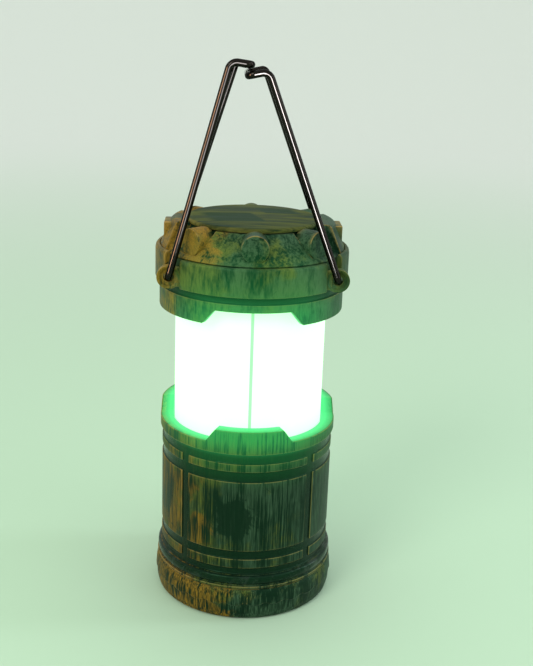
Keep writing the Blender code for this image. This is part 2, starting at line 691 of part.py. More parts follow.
def build_dome(looks):
    """Sloping crown with six bosses, two high shoulders with side blocks, and four sunk panels."""
    base, top = DOME_RADII
    edge = DOME_BASE + DOME_EDGE
    outline = [(0, DOME_BASE), (base, DOME_BASE), (base, edge), (top, DOME_TOP), (0, DOME_TOP)]
    dome = lathe("cap_dome", outline, looks["dome_paint"])
    slope = (base - top) / (DOME_TOP - edge)
    cutters = []
    for centre in CUT_ANGLES:
        towards_side = 1 if centre in (45.0, 225.0) else -1
        rows = []
        for z, near, far in CUT_ROWS:
            inner = base - slope * (z - edge) - CUT_DEPTH
            ends = sorted((centre - towards_side * near, centre + towards_side * far))
            rows.append((z, inner, CUT_OUTSIDE, *ends))
        cutters.append(sector("sunk_panel", rows))
    combine(dome, "DIFFERENCE", cutters)
    additions = []
    for angle, reach in BOSS_REACH.items():
        inner, outer = polar(BOSS_INNER, angle, BOSS_HEIGHT), polar(reach, angle, BOSS_HEIGHT)
        additions.append(rod("boss", inner, outer, BOSS_RADIUS, steps=BOSS_STEPS))
    for angle in (90.0, 270.0):
        ends = (angle - SHOULDER_HALF, angle + SHOULDER_HALF)
        rows = [(z, BOSS_INNER, outer, *ends) for z, outer in SHOULDER_ROWS]
        additions.append(sector("shoulder", rows))
        low = (-SIDE_BLOCK_HALF, SIDE_BLOCK_REACH[0], SIDE_BLOCK_SPAN[0])
        high = (SIDE_BLOCK_HALF, SIDE_BLOCK_REACH[1], SIDE_BLOCK_SPAN[1])
        additions.append(block("side_block", low, high, angle=angle))
    combine(dome, "UNION", additions)
    wall = DOME_WALL - DOME_SKIN * slope
    low, high = DOME_BASE - DOME_SKIN, DOME_TOP - DOME_SKIN
    inside = [(0, low), (base - wall, low), (top - wall, high), (0, high)]
    seat_radius, seat_top = DISC_RADIUS + DISC_SEAT_MARGIN, DOME_TOP + DISC_SEAT_HEIGHT
    trim = [(0, DOME_TOP), (0, seat_top), (seat_radius, seat_top), (seat_radius, DOME_TOP)]
    cavity = lathe("cavity", inside)
    seat = lathe("disc_seat", trim)
    return combine(dome, "DIFFERENCE", [cavity, seat])


def build_cap_top(looks):
    """The flat crown disc and the white hat-shaped reflector under the shoulder."""
    low, high = DISC_SPAN
    outline = [(0, low), (DISC_RADIUS, low), *DISC_ROWS, (0, high)]
    lathe("top_disc", outline, looks["disc_paint"])
    outline = [*REFLECTOR_BRIM, *REFLECTOR_INSIDE]
    lathe("cap_reflector", outline, looks["white_plastic"], CORE_STEPS)


def leg_points(side, foot, lean, length, arm):
    """The corner at the top of one leg, and the tip of the arm bent inwards from it."""
    turn = math.radians(lean)
    drop = math.radians(90.0 + lean - ARM_BEND)
    corner = foot + Vector((-side * length * math.sin(turn), 0, length * math.cos(turn)))
    tip = corner + Vector((-side * arm * math.cos(drop), 0, -arm * math.sin(drop)))
    return corner, tip


def build_handle(name, side, legs, looks):
    """One wire bail: two legs, two short arms bent inwards and the bar between them."""
    hinge = Vector((side * HINGE_X, 0, HINGE_Z))
    foot, end = (Vector((0, -reach, 0)) for reach in (LEG_Y, WIRE_END_Y))
    front_corner, front_tip = leg_points(side, hinge + foot, *legs[0])
    rear_corner, rear_tip = leg_points(side, hinge - foot, *legs[1])
    points = [hinge + end, hinge + foot, front_corner, front_tip]
    points += [rear_tip, rear_corner, hinge - foot, hinge - end]
    path = rounded_path(points, WIRE_BENDS, BEND_STEPS)
    handle = wire(name, path, WIRE_RADIUS, looks["handle_steel"])
    move_origin(handle, hinge)


def main():
    clear_scene()
    looks = make_looks()
    build_body_shell(looks)
    build_base_cover(looks)
    build_cells(looks)
    build_core(looks)
    build_deck(looks)
    build_tower(looks)
    build_diffuser(looks)
    build_cap_band(looks)
    build_dome(looks)
    build_cap_top(looks)
    build_handle("handle_left", -1, LEFT_BAIL, looks)
    build_handle("handle_right", 1, RIGHT_BAIL, looks)
    for obj in bpy.data.objects:
        smooth(obj)


main()
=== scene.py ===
import json
import math

import bmesh
import bpy
from mathutils import Matrix, Vector


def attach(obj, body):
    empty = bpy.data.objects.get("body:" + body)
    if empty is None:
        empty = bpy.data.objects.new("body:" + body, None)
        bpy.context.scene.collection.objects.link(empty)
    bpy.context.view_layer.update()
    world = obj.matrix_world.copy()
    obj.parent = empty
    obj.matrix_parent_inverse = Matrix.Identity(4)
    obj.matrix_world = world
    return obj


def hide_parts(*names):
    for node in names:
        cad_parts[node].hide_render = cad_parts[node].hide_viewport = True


# Looks for the pull-up camping lantern. Shapes are written in millimetres and scaled on output.
# Materials, lights and camera are in metres. Outlines are (radius, height) points.
# Angles are in degrees, counted from the front (-Y) towards +X.

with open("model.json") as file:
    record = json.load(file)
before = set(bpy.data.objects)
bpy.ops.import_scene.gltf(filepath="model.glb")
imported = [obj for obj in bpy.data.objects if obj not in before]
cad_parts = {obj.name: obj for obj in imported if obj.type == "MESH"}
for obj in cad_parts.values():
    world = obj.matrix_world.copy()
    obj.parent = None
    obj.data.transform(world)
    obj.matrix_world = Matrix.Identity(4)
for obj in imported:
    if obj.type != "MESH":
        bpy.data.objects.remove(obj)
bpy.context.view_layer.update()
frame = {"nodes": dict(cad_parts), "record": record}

# Mesh making.
MM = 0.001
WELD_DISTANCE = 0.0008
SHARP_ANGLE = math.radians(42)
TINY = 1e-6
WEAR_GAIN = 2.6
RAMP_EASE = 0.24
CLOSEST_ANGLES = 0.15
LONGEST_CUT = 0.35
WIDE_STEP = 1.5
FINE_STEP = 0.25
ROUND_STEPS = 48

# Where the body and the cap repeat round the axis.
MERLONS = (0.0, 120.0, 240.0)
CORNERS = (45.0, 135.0, 225.0, 315.0)
SIDES = (90.0, 270.0)

# Body: rib, glossy ring, three raised bands between grooves, collar with teeth, inside.
BAND_R, GROOVE_R, COLLAR_R, LIP_R = 40.6, 39.9, 41.4, 35.6
RIM_LOW, RIM_HIGH = 87.5, 93.5
MERLON_FOOT, MERLON_TOP = 28.4, 21.9
BODY_RIB = [(41.6, 15.9), (42.5, 16.2), (42.5, 17.2), (41.4, 17.6), (41.4, 18.1)]
BODY_RING = [(42.1, 18.6), (42.3, 20.2), (42.1, 21.8), (41.2, 22.3), (39.9, 22.7)]
BODY_BANDS = ((25.9, 30.2), (34.6, 68.7), (73.9, 77.5))
BAND_EASE = 0.3
COLLAR_FOOT = (82.2, 82.6)
BODY_INSIDE = [(35.6, 76.0), (38.5, 76.0), (38.5, 18.4), (25.6, 18.4), (25.6, 16.1)]
BODY_SKIRT = [(36.4, 16.1), (36.4, 9.6), (38.3, 9.6), (38.3, 15.9)]
GROOVE_HALF, GROOVE_EASE, GROOVE_STEP = 3.15, 0.45, 0.04
GROOVE_EDGE = 3.0
BODY_INNER_WALL = 39.0
RING_SPAN = (18.0, 22.4)
PAINTED_OUTSIDE = (17.6, 82.4)
INNER_PAINT = 0.35
GROOVE_BARE, GROOVE_FADE = 0.25, 0.4

# Base cover, with a scalloped step. Rows are (height, radius).
COVER_ROWS = (
    (0.0, 41.0), (1.0, 42.3), (3.6, 43.0), (7.6, 43.3), (11.6, 43.0), (14.2, 42.5), (15.6, 41.8),
)
COVER_LOW = (0.0, 0.5, 1.0, 2.3, 3.6, 5.6, 6.6)
COVER_FINE_FROM, COVER_FINE_STEP, COVER_FINE_COUNT = 7.2, 0.35, 9
COVER_HIGH = (11.6, 13.0, 14.2)
COVER_FOOT = [(0.0, 0.8), (34.0, 0.8), (34.0, 0.0)]
COVER_INSIDE = [(41.8, 15.6), (40.4, 15.6), (40.4, 3.0), (0.0, 3.0)]
COVER_STEP = 1.25
SCALLOP_Z, SCALLOP_DROP, SCALLOP_DEPTH, SCALLOP_EASE = 9.6, 1.5, 0.4, 0.7
SCALLOP_TURNS, SCALLOP_POWER = 14.0, 0.7

# Cap ring: notched skirt, neck, band, side wings, recesses beside them and four lugs.
SKIRT_LOW, NOTCH_HIGH = 141.9, 148.4
NOTCH_FOOT, NOTCH_TOP = 31.7, 23.2
SKIRT_R = 42.3
NECK = [(42.3, 151.8), (41.3, 152.3), (41.3, 154.9)]
CAP_BAND_R, CAP_BAND_LOW, CAP_BAND_TOP = 43.88, 155.3, 168.0
WING_HALF, WING_EASE, WING_OUT, WING_UP = 29.0, 0.7, 0.36, 2.2
RECESS_HALF, RECESS_EASE, RECESS_IN = 43.2, 0.6, 2.1
WING_EDGES = (28.7, 43.0)
# The band's rounded upper edge. Each row is height, how much higher on the wings, and how far in.
CAP_EDGE = ((167.0, 0.9, 0.0), (167.6, 1.7, 0.25))
CAP_TOP_R, WING_BACK_R, WING_FOOT_R, RECESS_BACK = 43.2, 42.3, 42.2, 0.7
CAP_INSIDE = [(38.2, 168.0), (38.2, 166.5), (35.2, 166.5), (35.2, 150.0), (38.9, 150.0)]
NECK_SPAN = (151.9, 155.2)
CAP_INNER_WALL = 41.0
NECK_PAINT = 0.1
CAP_PAINT_R, CAP_FADE = 41.7, 0.5
HINGE_X, HINGE_Z = 36.95, 160.1
LUG_CUP = [(2.2, 24.9), (5.2, 24.9), (5.2, 28.8), (4.6, 28.8), (3.9, 28.5), (3.4, 27.9), (2.2, 27.7)]
LUG_WEB_X, LUG_WEB_Y, LUG_WEB_HALF = (29.8, 34.6), (25.05, 28.5), 4.3

# Crown: cone, sunk panels, two shoulders with side blocks, six bosses, flat disc.
DOME_BASE, DOME_EDGE, DOME_TOP = 168.3, 168.7, 180.3
DOME_R, DOME_SLIM = 41.5, 10.5
DOME_SEAT = 31.1
DOME_ROWS = 30
DOME_UNDER = [(0.0, 177.0), (27.0, 177.0), (36.5, 168.3)]
PANEL_NEAR, PANEL_SLANT, PANEL_FAR = 6.0, 7.0, 22.0
PANEL_FOOT, PANEL_HEIGHT, PANEL_START = 170.4, 11.1, 170.2
PANEL_DEPTH, PANEL_EASE, PANEL_RISE = 2.2, 1.1, 0.6
SUNK_PAINT, SUNK_BEHIND, SUNK_FROM = 0.3, 0.6, 1.0
SHOULDER_ROWS = ((168.3, 42.0), (170.0, 42.0), (181.2, 37.0), (181.9, 35.8))
SHOULDER_HALF, SHOULDER_EASE, SHOULDER_UP = 23.0, 0.9, 1.6
SHOULDER_EDGES = (22.5, 23.0)
BOSSES = {0.0: 40.3, 45.0: 39.6, 135.0: 39.6, 180.0: 40.3, 225.0: 39.6, 315.0: 39.6}
BOSS_R, BOSS_FACE_R, BOSS_BACK, BOSS_INNER, BOSS_Z = 6.0, 5.0, 4.0, 29.5, 175.6
BOSS_FILLET = 0.9
SIDE_BLOCK_X, SIDE_BLOCK_HALF, SIDE_BLOCK_Z = (31.0, 40.2), 6.6, (170.0, 180.2)
DISC = [(0.0, 180.6), (30.6, 180.6), (30.6, 181.9), (29.6, 182.6), (20.0, 183.1), (0.0, 183.4)]

# Light tube and the moulding line down its front.
TUBE = [(34.9, 76.0), (34.9, 163.0), (33.1, 163.0), (33.1, 76.0)]
SEAM = ((34.8, -1.3), (35.02, -0.8), (35.02, 0.8), (34.8, 1.3))
SEAM_SPAN = (76.3, 162.7)

# Wire bails. Each leg is (lean, length, length of its arm), front leg first.
WIRE_RADIUS = 1.56
WIRE_SIDES = 28
WIRE_END_Y, LEG_Y, ARM_BEND = 24.6, 30.8, 98.0
WIRE_BENDS = (2.6, 3.6, 2.6, 2.0, 2.0, 2.6)
BEND_STEPS = 12
LEFT_LEGS = ((15.2, 94.9, 8.6), (17.4, 92.6, 5.8))
RIGHT_LEGS = ((20.7, 94.0, 8.6), (20.7, 92.0, 8.6))


def clamp(value):
    return min(1.0, max(0.0, value))


def soft(value):
    """Smooth step from 0 to 1."""
    t = clamp(value)
    return t * t * (3.0 - 2.0 * t)


def ramp(value):
    """Straight ramp from 0 to 1 with slightly rounded ends."""
    t = clamp(value)
    return t + RAMP_EASE * (soft(t) - t)


def signed(angle, centre):
    """The turn from centre to angle, between -180 and 180."""
    return (angle - centre + 180.0) % 360.0 - 180.0


def nearest(angle, centres):
    return min(abs(signed(angle, centre)) for centre in centres)


def along_rows(rows, z):
    """The radius at a height, on straight lines between (height, radius) rows."""
    for (z0, r0), (z1, r1) in zip(rows, rows[1:]):
        if z <= z1:
            return r0 + (r1 - r0) * (z - z0) / (z1 - z0)
    return rows[-1][1]


def polar(radius, angle, z):
    turn = math.radians(angle)
    return Vector((radius * math.sin(turn), -radius * math.cos(turn), z))


def both_sides(centres, offsets):
    """The angles that lie each offset to either side of each centre."""
    return [centre + side * offset for centre in centres for side in (-1, 1) for offset in offsets]


def columns(step, fine=FINE_STEP, edges=(), reach=1.0):
    """Angles all round: every step, and every fine within reach of each edge."""
    found = {round(step * i, 3) for i in range(int(360 / step))}
    for edge in edges:
        count = int(reach / fine)
        for i in range(-count, count + 1):
            found.add(round((edge + fine * i) % 360.0, 3))
    ordered = sorted(found)
    kept = [ordered[0]]
    for angle in ordered[1:]:
        if angle - kept[-1] > CLOSEST_ANGLES:
            kept.append(angle)
    return kept


def fillet(profile, radius, steps=2, closed=True):
    """Round each corner of an outline, always with the same number of points."""
    out = []
    count = len(profile)
    for i, (r, z) in enumerate(profile):
        if not closed and i in (0, count - 1):
            out.append((r, z))
            continue
        here = Vector((r, z))
        back = Vector(profile[i - 1]) - here
        ahead = Vector(profile[(i + 1) % count]) - here
        cut = min(radius, LONGEST_CUT * back.length, LONGEST_CUT * ahead.length)
        first = here + back.normalized() * cut if back.length > TINY else here
        last = here + ahead.normalized() * cut if ahead.length > TINY else here
        for k in range(steps + 1):
            t = k / steps
            point = first * (1 - t) ** 2 + here * 2 * t * (1 - t) + last * t ** 2
            out.append((point.x, point.y))
    return out


def cuts_of(profile, longest):
    """How many even pieces each stretch of the outline is cut into."""
    found = []
    for a, b in zip(profile, profile[1:] + profile[:1]):
        found.append(max(1, math.ceil(math.hypot(b[0] - a[0], b[1] - a[1]) / longest)))
    return found


def cut_up(profile, cuts):
    """The outline with each stretch cut into its number of even pieces."""
    out = []
    for a, b, count in zip(profile, profile[1:] + profile[:1], cuts):
        for k in range(count):
            t = k / count
            out.append((a[0] + (b[0] - a[0]) * t, a[1] + (b[1] - a[1]) * t))
    return out


def bridge(bm, rings, around=True, across=True):
    """Faces between neighbouring rings. around closes the row of rings, across closes each ring."""
    following = rings[1:] + rings[:1] if around else rings[1:]
    for one, two in zip(rings, following):
        for k in range(len(one) if across else len(one) - 1):
            j = (k + 1) % len(one)
            bm.faces.new((one[k], two[k], two[j], one[j]))


def turned(bm, angles, outline_at, radius=0.35, longest=1.6, poles=False):
    """Add a turned surface whose outline may change with the angle."""
    cuts = None
    rings = []
    for angle in angles:
        outline = fillet(outline_at(angle), radius, closed=not poles)
        if cuts is None:
            cuts = cuts_of(outline, longest)
            if poles:
                cuts[-1] = 1
        points = cut_up(outline, cuts)
        rings.append([bm.verts.new(polar(max(r, 0.0), angle, z)) for r, z in points])
    bridge(bm, rings, across=not poles)


def wear_of(vert):
    """0 on a flat or hollow surface, up to 1 on a sharp outer edge."""
    bend = 0.0
    for edge in vert.link_edges:
        along = edge.other_vert(vert).co - vert.co
        if along.length > TINY:
            bend -= vert.normal.dot(along) / along.length
    return clamp(WEAR_GAIN * bend / max(1, len(vert.link_edges)))


def finish_mesh(name, bm, look, body, nodes=(), raised=None):
    """Write the mesh, its edge wear and its raised or sunk value, and tie it to the frame."""
    bmesh.ops.remove_doubles(bm, verts=bm.verts, dist=WELD_DISTANCE)
    bmesh.ops.recalc_face_normals(bm, faces=bm.faces)
    bm.normal_update()
    wear = [wear_of(vert) for vert in bm.verts]
    high = [raised(vert.co) if raised else 1.0 for vert in bm.verts]
    bmesh.ops.scale(bm, vec=Vector((MM, MM, MM)), verts=bm.verts)
    mesh = bpy.data.meshes.new(name)
    bm.to_mesh(mesh)
    bm.free()
    mesh.attributes.new("wear", "FLOAT", "POINT").data.foreach_set("value", wear)
    mesh.attributes.new("raised", "FLOAT", "POINT").data.foreach_set("value", high)
    for polygon in mesh.polygons:
        polygon.use_smooth = True
    mesh.set_sharp_from_angle(angle=SHARP_ANGLE)
    mesh.materials.append(look)
    obj = bpy.data.objects.new(name, mesh)
    bpy.context.scene.collection.objects.link(obj)
    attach(obj, body)
    if nodes:
        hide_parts(*nodes)


# ---------------------------------------------------------------- shapes


def rim_at(angle):
    """Height of the body's rim, which carries three teeth."""
    rise = (MERLON_FOOT - nearest(angle, MERLONS)) / (MERLON_FOOT - MERLON_TOP)
    return RIM_LOW + (RIM_HIGH - RIM_LOW) * ramp(rise)


def body_outline(angle):
    rim = rim_at(angle)
    groove = soft((GROOVE_HALF - nearest(angle, CORNERS)) / GROOVE_EASE)
    band = BAND_R - (BAND_R - GROOVE_R - GROOVE_STEP) * groove
    outline = BODY_RIB + BODY_RING
    for low, high in BODY_BANDS:
        outline += [(GROOVE_R, low - BAND_EASE), (band, low)]
        outline += [(band, high), (GROOVE_R, high + BAND_EASE)]
    outline += [(GROOVE_R, COLLAR_FOOT[0]), (COLLAR_R, COLLAR_FOOT[1])]
    outline += [(COLLAR_R, rim), (LIP_R, rim)]
    return outline + BODY_INSIDE + BODY_SKIRT


def body_raised(point):
    """1 where paint lies, 0 down in the grooves and on the ring."""
    radius = math.hypot(point.x, point.y)
    if radius < BODY_INNER_WALL:
        return INNER_PAINT
    if RING_SPAN[0] < point.z < RING_SPAN[1]:
        return 0.0
    if point.z > PAINTED_OUTSIDE[1] or point.z < PAINTED_OUTSIDE[0]:
        return 1.0
    return soft((radius - GROOVE_R - GROOVE_BARE) / GROOVE_FADE)


def make_body(look):
    edges = both_sides(MERLONS, (MERLON_FOOT, MERLON_TOP)) + both_sides(CORNERS, (GROOVE_EDGE,))
    bm = bmesh.new()
    turned(bm, columns(WIDE_STEP, edges=edges), body_outline)
    finish_mesh("body_shell_fine", bm, look, "base", ["body_shell"], body_raised)


def cover_radius(z, angle):
    """The cover bulges, and a scalloped step runs round below its middle."""
    wave = abs(math.sin(math.radians(angle * SCALLOP_TURNS))) ** SCALLOP_POWER
    scallop = SCALLOP_Z - SCALLOP_DROP * wave
    return along_rows(COVER_ROWS, z) - SCALLOP_DEPTH * soft((scallop - z) / SCALLOP_EASE)


def cover_outline(angle):
    fine = [COVER_FINE_FROM + COVER_FINE_STEP * i for i in range(COVER_FINE_COUNT)]
    heights = [*COVER_LOW, *fine, *COVER_HIGH]
    return COVER_FOOT + [(cover_radius(z, angle), z) for z in heights] + COVER_INSIDE


def make_cover(look):
    bm = bmesh.new()
    turned(bm, columns(COVER_STEP), cover_outline, radius=0.25, longest=2.5, poles=True)
    finish_mesh("base_cover_fine", bm, look, "cover", ["base_cover"])


def skirt_at(angle):
    """Height of the skirt's lower edge, which has three notches."""
    rise = (NOTCH_FOOT - nearest(angle, MERLONS)) / (NOTCH_FOOT - NOTCH_TOP)
    return SKIRT_LOW + (NOTCH_HIGH - SKIRT_LOW) * ramp(rise)


def band_outline(angle):
    low = skirt_at(angle)
    side = nearest(angle, SIDES)
    wing = soft((WING_HALF - side) / WING_EASE)
    recess = soft((RECESS_HALF - side) / RECESS_EASE) * (1.0 - wing)
    radius = CAP_BAND_R + WING_OUT * wing - RECESS_IN * recess
    top = CAP_BAND_TOP + WING_UP * wing
    outline = [(SKIRT_R, low)] + NECK + [(radius, CAP_BAND_LOW)]
    for z, rise, inward in CAP_EDGE:
        outline.append((radius - inward * (1 - recess), z + rise * wing))
    outline.append((min(radius, CAP_TOP_R), top))
    outline.append((WING_BACK_R - RECESS_BACK * recess, top))
    outline.append((WING_FOOT_R - RECESS_BACK * recess, CAP_BAND_TOP))
    return outline + CAP_INSIDE + [(CAP_INSIDE[-1][0], low)]


def band_raised(point):
    radius = math.hypot(point.x, point.y)
    if radius < CAP_INNER_WALL:
        return INNER_PAINT
    if NECK_SPAN[0] < point.z < NECK_SPAN[1]:
        return NECK_PAINT
    return INNER_PAINT + (1.0 - INNER_PAINT) * soft((radius - CAP_PAINT_R) / CAP_FADE)


def around_hinge(bm, side, front, outline):
    """Turn an outline of (radius, distance out) points about the axis of one lug."""
    rings = []
    for i in range(ROUND_STEPS):
        turn = 2 * math.pi * i / ROUND_STEPS
        ring = []
        for radius, out in outline:
            x = side * HINGE_X + radius * math.cos(turn)
            z = HINGE_Z + radius * math.sin(turn)
            ring.append(bm.verts.new((x, front * out, z)))
        rings.append(ring)
    bridge(bm, rings)


def boxed(bm, low, high, bevel):
    """A box with rounded edges between two corners."""
    made = bmesh.ops.create_cube(bm, size=1.0)["verts"]
    for vert in made:
        for axis in range(3):
            vert.co[axis] = low[axis] if vert.co[axis] < 0 else high[axis]
    edges = list({edge for vert in made for edge in vert.link_edges})
    bmesh.ops.bevel(bm, geom=edges, offset=bevel, segments=3, profile=0.5, affect="EDGES")


def make_band(look):
    edges = both_sides(MERLONS, (NOTCH_FOOT, NOTCH_TOP)) + both_sides(SIDES, WING_EDGES)
    bm = bmesh.new()
    turned(bm, columns(WIDE_STEP, edges=edges), band_outline)
    cup = fillet(LUG_CUP, 0.3)
    cup = cut_up(cup, cuts_of(cup, 0.8))
    for front in (-1, 1):
        for side in (-1, 1):
            around_hinge(bm, side, front, cup)
            xs = sorted(side * x for x in LUG_WEB_X)
            ys = sorted(front * y for y in LUG_WEB_Y)
            low = (xs[0], ys[0], HINGE_Z - LUG_WEB_HALF)
            boxed(bm, low, (xs[1], ys[1], HINGE_Z + LUG_WEB_HALF), bevel=0.7)
    finish_mesh("cap_band_fine", bm, look, "cap", ["cap_band"], band_raised)


def panel_depth(angle, z):
    """How deep the sunk panels are: their front edge slants, and they open at the top."""
    depth = 0.0
    for centre in CORNERS:
        towards_side = 1 if centre in CORNERS[::2] else -1
        offset = signed(angle, centre) * towards_side
        near = -(PANEL_NEAR + PANEL_SLANT * clamp((z - PANEL_FOOT) / PANEL_HEIGHT))
        inside = soft((offset - near) / PANEL_EASE) * soft((PANEL_FAR - offset) / PANEL_EASE)
        depth = max(depth, inside)
    return PANEL_DEPTH * depth * soft((z - PANEL_START) / PANEL_RISE)


def cone_radius(z):
    return DOME_R - DOME_SLIM * clamp((z - DOME_EDGE) / (DOME_TOP - DOME_EDGE))


def dome_outline(angle):
    side = soft((SHOULDER_HALF - nearest(angle, SIDES)) / SHOULDER_EASE)
    outline = list(DOME_UNDER)
    for i in range(DOME_ROWS + 1):
        z = DOME_BASE + (DOME_TOP - DOME_BASE + SHOULDER_UP * side) * i / DOME_ROWS
        cone = cone_radius(z) - panel_depth(angle, z) * (1 - side)
        outline.append((cone + (along_rows(SHOULDER_ROWS, z) - cone) * side, z))
    inner = min(DOME_SEAT, outline[-1][0] - 0.1)
    outline.append((inner, DOME_TOP + SHOULDER_UP * side))
    return outline + [(inner - 0.02, DOME_TOP), (0.0, DOME_TOP)]


def dome_raised(point):
    angle = math.degrees(math.atan2(point.x, -point.y)) % 360.0
    behind_cone = math.hypot(point.x, point.y) < cone_radius(point.z) - SUNK_BEHIND
    return SUNK_PAINT if behind_cone and panel_depth(angle, point.z) > SUNK_FROM else 1.0


def add_boss(bm, angle, reach):
    """A round boss that lies along the radius at this angle."""
    rim = [(0.0, reach), (BOSS_FACE_R, reach), (BOSS_R, reach), (BOSS_R, reach - BOSS_BACK)]
    rim = fillet(rim + [(BOSS_R, BOSS_INNER), (0.0, BOSS_INNER)], BOSS_FILLET, closed=False)
    place = Matrix.Rotation(math.radians(angle), 4, "Z") @ Matrix.Translation((0, 0, BOSS_Z))
    rings = []
    for i in range(ROUND_STEPS):
        turn = 2 * math.pi * i / ROUND_STEPS
        points = [Vector((r * math.cos(turn), -y, r * math.sin(turn))) for r, y in rim]
        rings.append([bm.verts.new(place @ point) for point in points])
    bridge(bm, rings, across=False)


def make_dome(look):
    bm = bmesh.new()
    angles = columns(0.6, fine=0.3, edges=both_sides(SIDES, SHOULDER_EDGES), reach=1.2)
    turned(bm, angles, dome_outline, radius=0.12, longest=4.0, poles=True)
    for angle, reach in BOSSES.items():
        add_boss(bm, angle, reach)
    for side in (-1, 1):
        xs = sorted(side * x for x in SIDE_BLOCK_X)
        low = (xs[0], -SIDE_BLOCK_HALF, SIDE_BLOCK_Z[0])
        boxed(bm, low, (xs[1], SIDE_BLOCK_HALF, SIDE_BLOCK_Z[1]), bevel=0.6)
    finish_mesh("cap_dome_fine", bm, look, "cap", ["cap_dome"], dome_raised)


def make_disc(look):
    bm = bmesh.new()
    turned(bm, columns(WIDE_STEP), lambda angle: DISC, radius=0.45, longest=1.5, poles=True)
    finish_mesh("top_disc_fine", bm, look, "cap", ["top_disc"])


def make_tube(look, seam_look):
    bm = bmesh.new()
    turned(bm, columns(WIDE_STEP), lambda angle: TUBE, radius=0.3, longest=6.0)
    finish_mesh("diffuser_fine", bm, look, "cap", ["diffuser"])
    bm = bmesh.new()
    ends = [[bm.verts.new(polar(r, angle, z)) for r, angle in SEAM] for z in SEAM_SPAN]
    bridge(bm, ends, around=False)
    for end in ends:
        bm.faces.new(end)
    finish_mesh("diffuser_seam", bm, seam_look, "cap")


def rounded_path(points, radii, arc_steps):
    """A polyline with each inner corner replaced by an arc."""
    path = [points[0]]
    for before, corner, after, radius in zip(points, points[1:], points[2:], radii):
        back = (before - corner).normalized()
        ahead = (after - corner).normalized()
        half = back.angle(ahead) / 2
        cut = radius / math.tan(half)
        centre = corner + (back + ahead).normalized() * radius / math.sin(half)
        first = corner + back * cut - centre
        last = corner + ahead * cut - centre
        axis = first.cross(last).normalized()
        sweep = first.angle(last)
        for i in range(arc_steps + 1):
            path.append(centre + Matrix.Rotation(sweep * i / arc_steps, 3, axis) @ first)
    path.append(points[-1])
    return path


def leg_points(hinge, side, front, lean, length, arm):
    """Foot, corner and tip of a leg that leans over the cap, with its short arm at the top."""
    foot = hinge + Vector((0, front * LEG_Y, 0))
    turn = math.radians(lean)
    drop = math.radians(90.0 + lean - ARM_BEND)
    corner = foot + Vector((-side * length * math.sin(turn), 0, length * math.cos(turn)))
    tip = corner + Vector((-side * arm * math.cos(drop), 0, -arm * math.sin(drop)))
    return foot, corner, tip


def wire_rings(bm, path):
    """Rings of points round the path, carried along it without twist."""
    tangents = []
    for i in range(len(path)):
        ahead = path[min(i + 1, len(path) - 1)] - path[i]
        behind = path[i] - path[max(i - 1, 0)]
        tangents.append((ahead.normalized() + behind.normalized()).normalized())
    across = tangents[0].orthogonal().normalized()
    rings = []
    for i, (point, tangent) in enumerate(zip(path, tangents)):
        if i:
            across = tangents[i - 1].rotation_difference(tangent) @ across
        other = tangent.cross(across).normalized()
        ring = []
        for k in range(WIRE_SIDES):
            turn = 2 * math.pi * k / WIRE_SIDES
            spoke = math.cos(turn) * across + math.sin(turn) * other
            ring.append(bm.verts.new(point + WIRE_RADIUS * spoke))
        rings.append(ring)
    return rings


def make_bail(name, body, side, legs, look):
    """One wire: out of the front lug, up its leg, along the bar and down into the rear lug."""
    hinge = Vector((side * HINGE_X, 0, HINGE_Z))
    front_leg = leg_points(hinge, side, -1, *legs[0])
    rear_leg = leg_points(hinge, side, 1, *legs[1])
    end = Vector((0, WIRE_END_Y, 0))
    points = [hinge - end, *front_leg, *reversed(rear_leg), hinge + end]
    bm = bmesh.new()
    rings = wire_rings(bm, rounded_path(points, WIRE_BENDS, BEND_STEPS))
    bridge(bm, rings, around=False)
    bm.faces.new(rings[0])
    bm.faces.new(rings[-1])
    finish_mesh(name + "_fine", bm, look, body, [name])


# ---------------------------------------------------------------- materials


